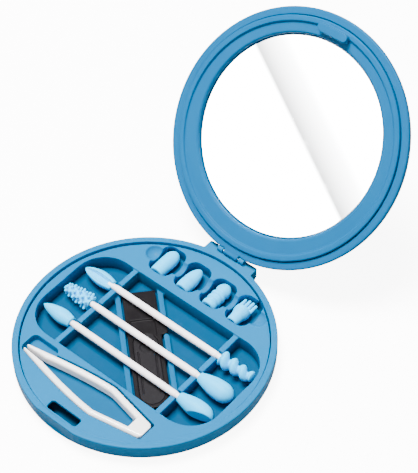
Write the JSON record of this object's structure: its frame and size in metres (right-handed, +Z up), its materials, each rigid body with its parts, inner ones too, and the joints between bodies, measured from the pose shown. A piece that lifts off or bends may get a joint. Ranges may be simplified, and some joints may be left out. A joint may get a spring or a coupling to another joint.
{
  "type": "ear cleaning compact",
  "caption": "Round hinged mirror compact whose tray holds double-ended silicone swabs, loose silicone tips, plastic tweezers and a flat handle.",
  "frame": {"origin": "centre of the round underside of the lower half, on the surface that it stands on", "axes": "+Z up, X along the hinge pin and the swabs, +Y from the latch towards the hinge; the lid is at its open stop"},
  "size_m": [0.1012, 0.169, 0.0873],
  "materials": {
    "tray_blue": "satin moulded plastic",
    "lid_blue": "satin moulded plastic",
    "steel": "drawn wire",
    "mirror": "silvered",
    "pad": "adhesive foam",
    "silicone": "soft matte silicone",
    "stick_white": "satin moulded plastic",
    "tweezer_white": "gloss moulded plastic",
    "handle_black": "satin moulded plastic",
    "panel_grey": "fine moulded texture"
  },
  "bodies": {
    "case": {"base_shell": "tray_blue", "tray_insert": "tray_blue", "hinge_pin": "steel"},
    "lid": {"lid_cover": "lid_blue", "mirror_frame": "lid_blue", "mirror_glass": "mirror", "mirror_pad": "pad"},
    "handle": {"handle_body": "handle_black", "handle_panel": "panel_grey"},
    "swab_back": {"stick_back": "stick_white", "head_leaf": "silicone", "head_screw": "silicone"},
    "swab_middle": {"stick_middle": "stick_white", "head_brush": "silicone", "head_bud": "silicone"},
    "swab_front": {"stick_front": "stick_white", "head_point": "silicone", "head_slant": "silicone"},
    "round_tip": {"tip_round": "silicone"},
    "taper_tip": {"tip_taper": "silicone"},
    "ribbed_tip": {"tip_ribbed": "silicone"},
    "claw_tip": {"tip_claw": "silicone"},
    "tweezers": {"tweezer_bridge": "tweezer_white"},
    "back_arm": {"tweezer_arm_back": "tweezer_white"},
    "front_arm": {"tweezer_arm_front": "tweezer_white"}
  },
  "joints": [
    {"name": "lid_hinge", "type": "hinge", "parent": "case", "child": "lid", "pos_m": [0, 0.051, 0.0102], "axis": [-1, 0, 0], "range_deg": [-131, 0]},
    {"name": "handle_lift", "type": "slide", "parent": "case", "child": "handle", "axis": [0, 0, 1], "range_m": [0, 0.02]},
    {"name": "swab_back_lift", "type": "slide", "parent": "handle", "child": "swab_back", "axis": [0, 0, 1], "range_m": [0, 0.02]},
    {"name": "swab_middle_lift", "type": "slide", "parent": "handle", "child": "swab_middle", "axis": [0, 0, 1], "range_m": [0, 0.02]},
    {"name": "swab_front_lift", "type": "slide", "parent": "handle", "child": "swab_front", "axis": [0, 0, 1], "range_m": [0, 0.02]},
    {"name": "round_tip_lift", "type": "slide", "parent": "case", "child": "round_tip", "axis": [0, 0, 1], "range_m": [0, 0.02]},
    {"name": "taper_tip_lift", "type": "slide", "parent": "case", "child": "taper_tip", "axis": [0, 0, 1], "range_m": [0, 0.02]},
    {"name": "ribbed_tip_lift", "type": "slide", "parent": "case", "child": "ribbed_tip", "axis": [0, 0, 1], "range_m": [0, 0.02]},
    {"name": "claw_tip_lift", "type": "slide", "parent": "case", "child": "claw_tip", "axis": [0, 0, 1], "range_m": [0, 0.02]},
    {"name": "tweezers_lift", "type": "slide", "parent": "case", "child": "tweezers", "axis": [0, 0, 1], "range_m": [0, 0.02]},
    {"name": "back_arm_squeeze", "type": "hinge", "parent": "tweezers", "child": "back_arm", "pos_m": [0.0226, -0.02774, 0.0054], "axis": [0, 0, 1], "range_deg": [0, 0.4], "stiffness_Nm_per_rad": 0.2},
    {"name": "front_arm_squeeze", "type": "hinge", "parent": "tweezers", "child": "front_arm", "pos_m": [0.0226, -0.03426, 0.0054], "axis": [0, 0, -1], "range_deg": [0, 0.4], "stiffness_Nm_per_rad": 0.2}
  ],
  "couplings": [
    {"joint": "front_arm_squeeze", "follows": "back_arm_squeeze", "ratio": 1}
  ]
}
